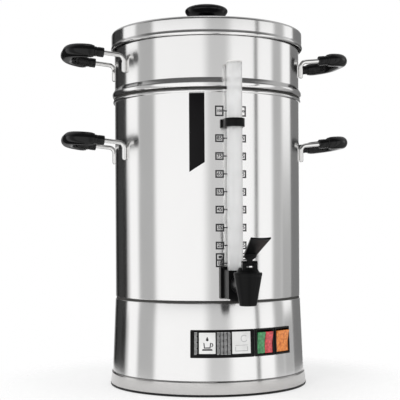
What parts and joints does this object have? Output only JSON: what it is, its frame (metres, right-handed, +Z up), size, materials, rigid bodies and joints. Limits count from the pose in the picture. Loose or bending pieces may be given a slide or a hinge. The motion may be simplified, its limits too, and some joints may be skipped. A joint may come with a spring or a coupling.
{
  "type": "coffee urn",
  "caption": "Free-standing coffee urn: polished steel tank on a conical base, lift-off filter section and lid, loop handles, sight gauge over a lever tap, and rocker switches.",
  "frame": {"origin": "on the vessel's axis, in the plane of the floor that the foot stands on", "axes": "+Z up along the vessel's axis, -Y towards the tap, +X to the right of the tap as seen from its front"},
  "size_m": [0.41, 0.397, 0.5336],
  "materials": {
    "polished_steel": "polished",
    "satin_steel": "satin",
    "black_gloss": "gloss",
    "black_matte": "matte",
    "dark_rubber": "matte",
    "silicone": "satin",
    "clear_tube": "clear",
    "white_plastic": "matte",
    "green_lens": "gloss",
    "red_lens": "gloss",
    "orange_lens": "gloss",
    "cast_aluminium": "satin",
    "brass": "satin",
    "lead_insulation": "matte"
  },
  "bodies": {
    "base": {"tank": "polished_steel", "base_skirt": "polished_steel", "left_tank_handle": "polished_steel", "right_tank_handle": "polished_steel", "foot_ring": "satin_steel", "bottom_plate": "satin_steel", "bottom_screws": "satin_steel", "tie_stud": "satin_steel", "tap_spring": "satin_steel", "lever_pin": "satin_steel", "rocker_pins": "satin_steel", "heating_element": "satin_steel", "inlet_pins": "satin_steel", "inner_washer": "satin_steel", "left_tank_grip": "black_gloss", "right_tank_grip": "black_gloss", "foot_edge_trim": "black_matte", "gauge_block": "black_matte", "tap_body": "black_matte", "tap_bonnet": "black_matte", "tube_clip": "black_matte", "shank_nut": "black_matte", "drain_plug": "black_matte", "panel_plate": "black_matte", "name_plate": "black_matte", "double_switch_housing": "black_matte", "single_switch_housing": "black_matte", "power_inlet": "black_matte", "base_gasket": "dark_rubber", "wall_gasket": "dark_rubber", "tube_seal": "dark_rubber", "gauge_tube": "clear_tube", "tube_cap": "white_plastic", "terminal_block": "white_plastic", "thermostat": "white_plastic", "safety_cutout": "white_plastic", "heat_plate": "cast_aluminium", "tie_nut": "brass", "switch_terminals": "brass", "lead_harness": "lead_insulation"},
    "filter_section": {"filter_body": "polished_steel", "filter_seal": "dark_rubber", "filter_plate": "satin_steel", "riser_tube": "satin_steel", "pump_bell": "satin_steel", "spray_head": "satin_steel", "left_filter_handle": "polished_steel", "right_filter_handle": "polished_steel", "left_filter_grip": "black_gloss", "right_filter_grip": "black_gloss"},
    "lid_assembly": {"lid": "polished_steel", "lid_knob": "black_gloss", "lid_screw": "satin_steel", "knob_washer": "dark_rubber"},
    "lever": {"tap_lever": "black_matte"},
    "valve": {"tap_stem": "satin_steel", "seat_cup": "silicone"},
    "green_switch": {"green_rocker": "green_lens"},
    "red_switch": {"red_rocker": "red_lens"},
    "orange_switch": {"orange_rocker": "orange_lens"}
  },
  "joints": [
    {"name": "filter_lift", "type": "slide", "parent": "base", "child": "filter_section", "axis": [0, 0, 1], "range_m": [0, 0.32]},
    {"name": "lid_lift", "type": "slide", "parent": "filter_section", "child": "lid_assembly", "axis": [0, 0, 1], "range_m": [0, 0.1]},
    {"name": "lever_pull", "type": "hinge", "parent": "base", "child": "lever", "pos_m": [0, -0.2095, 0.1736], "axis": [1, 0, 0], "range_deg": [0, 36], "stiffness_Nm_per_rad": 0.0015, "springref_deg": -34.38},
    {"name": "valve_lift", "type": "slide", "parent": "base", "child": "valve", "axis": [0, 0, 1], "range_m": [0, 0.0034], "stiffness_N_per_m": 150, "springref_m": -0.01, "deforming": ["tap_spring"]},
    {"name": "green_press", "type": "hinge", "parent": "base", "child": "green_switch", "pos_m": [0.04379, -0.12196, 0.06787], "axis": [-0.9412, -0.3379, 0], "range_deg": [0, 14]},
    {"name": "red_press", "type": "hinge", "parent": "base", "child": "red_switch", "pos_m": [0.04379, -0.12196, 0.06787], "axis": [-0.9412, -0.3379, 0], "range_deg": [0, 14]},
    {"name": "orange_press", "type": "hinge", "parent": "base", "child": "orange_switch", "pos_m": [0.07116, -0.10829, 0.06787], "axis": [-0.8357, -0.5492, 0], "range_deg": [0, 14]}
  ],
  "couplings": [
    {"joint": "lever_pull", "follows": "valve_lift", "rad_per_m": 153.84}
  ]
}
